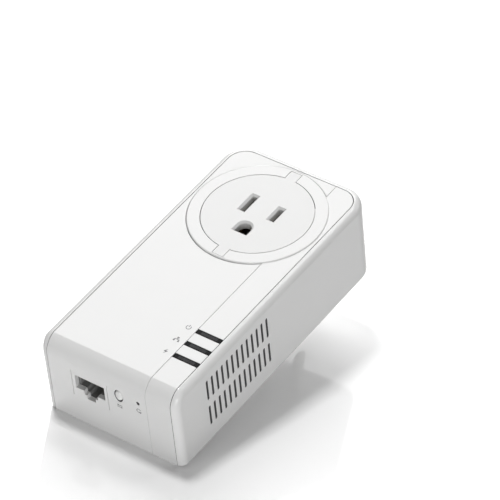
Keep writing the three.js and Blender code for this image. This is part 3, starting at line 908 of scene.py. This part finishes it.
def stage_floor():
    """A glossy white floor that is clear from behind and casts no shadow."""
    material, tree, shader = new_material("floor")
    path = tree.nodes.new("ShaderNodeLightPath")
    white = tree.nodes.new("ShaderNodeMapRange")
    white.inputs["To Min"].default_value = FLOOR_BOUNCE
    white.inputs["To Max"].default_value = FLOOR_SEEN
    tree.links.new(path.outputs["Is Camera Ray"], white.inputs["Value"])
    tree.links.new(white.outputs["Result"], shader.inputs["Base Color"])
    shader.inputs["Roughness"].default_value = 0.05
    shader.inputs["IOR"].default_value = 1.6
    output = tree.nodes["Material Output"]
    geometry = tree.nodes.new("ShaderNodeNewGeometry")
    clear = tree.nodes.new("ShaderNodeBsdfTransparent")
    mix = tree.nodes.new("ShaderNodeMixShader")
    unseen = tree.nodes.new("ShaderNodeMath")
    unseen.operation = "MAXIMUM"
    tree.links.new(geometry.outputs["Backfacing"], unseen.inputs[0])
    tree.links.new(path.outputs["Is Shadow Ray"], unseen.inputs[1])
    tree.links.new(unseen.outputs["Value"], mix.inputs["Fac"])
    tree.links.new(shader.outputs["BSDF"], mix.inputs[1])
    tree.links.new(clear.outputs["BSDF"], mix.inputs[2])
    tree.links.new(mix.outputs["Shader"], output.inputs["Surface"])
    corners = []
    for a, b in ((-1, -1), (1, -1), (1, 1), (-1, 1)):
        corners.append(rest + along * a * FLOOR_HALF + across * b * FLOOR_HALF)
    mesh = bpy.data.meshes.new("floor")
    mesh.from_pydata([tuple(c) for c in corners], [], [(0, 1, 2, 3)])
    floor = bpy.data.objects.new("floor", mesh)
    bpy.context.scene.collection.objects.link(floor)
    mesh.update()
    if mesh.polygons[0].normal.dot(up) < 0:
        mesh.flip_normals()
    mesh.materials.append(material)


AMBIENT = 0.05
# Each light's direction from the origin, distance, size in metres, and power in watts.
LIGHTS = (
    ("key", (-0.2, -1.0, 0.15), 1.6, (0.25, 0.25), 10.8),
    ("softbox", (-0.465, -0.66, 0.59), 1.6, (1.0, 1.0), 10.4),
    ("edge", (0.1, -0.79, 0.57), 1.6, (0.8, 0.3), 3.2),
    ("backdrop", (-0.46, -0.30, 0.84), 1.6, (1.2, 1.2), 8.5),
    ("glint", (0.46, -0.34, 0.82), 1.6, (0.6, 0.6), 1.4),
    ("fill", (0.55, -0.25, -0.8), 1.6, (1.0, 1.0), 14.5),
    ("rear", (-0.35, 1.0, 0.3), 1.6, (1.0, 1.0), 4.0),
)


def soft_light(name, direction, distance, size, watts):
    """A flat light facing the origin, with its width along X."""
    data = bpy.data.lights.new(name, "AREA")
    data.shape = "RECTANGLE"
    data.size, data.size_y = size
    data.energy = watts
    light = bpy.data.objects.new(name, data)
    out = direction.normalized()
    side = (Vector((1, 0, 0)) - out * out.x).normalized()
    turn = Matrix((side, out.cross(side), out)).transposed()
    light.matrix_world = Matrix.Translation(out * distance) @ turn.to_4x4()
    bpy.context.scene.collection.objects.link(light)


def studio():
    """A dim surround that the camera sees as white, and the lights."""
    world = bpy.data.worlds.new("studio")
    bpy.context.scene.world = world
    world.use_nodes = True
    tree = world.node_tree
    back = tree.nodes["Background"]
    back.inputs["Color"].default_value = (1, 1, 1, 1)
    back.inputs["Strength"].default_value = AMBIENT
    clear = tree.nodes.new("ShaderNodeBackground")
    clear.inputs["Strength"].default_value = 1.0
    path = tree.nodes.new("ShaderNodeLightPath")
    mix = tree.nodes.new("ShaderNodeMixShader")
    tree.links.new(path.outputs["Is Camera Ray"], mix.inputs["Fac"])
    tree.links.new(back.outputs["Background"], mix.inputs[1])
    tree.links.new(clear.outputs["Background"], mix.inputs[2])
    tree.links.new(mix.outputs["Shader"], tree.nodes["World Output"].inputs["Surface"])
    for name, direction, distance, size, watts in LIGHTS:
        soft_light(name, Vector(direction), distance, size, watts)


def camera():
    data = bpy.data.cameras.new("camera")
    data.sensor_width = 36
    data.lens = 254.1
    data.clip_start, data.clip_end = 0.05, 30
    view = bpy.data.objects.new("camera", data)
    right = Vector((0.8129, 0.0775, 0.5773))
    down = Vector((0.3511, 0.7256, -0.5919))
    ahead = Vector((-0.4647, 0.6838, 0.5626))
    turn = Matrix((right, -down, -ahead)).transposed()
    view.matrix_world = Matrix.Translation((0.6157, -0.9284, -0.7552)) @ turn.to_4x4()
    bpy.context.scene.collection.objects.link(view)
    bpy.context.scene.camera = view


stage_floor()
studio()
camera()
bpy.context.scene.view_settings.view_transform = "Standard"
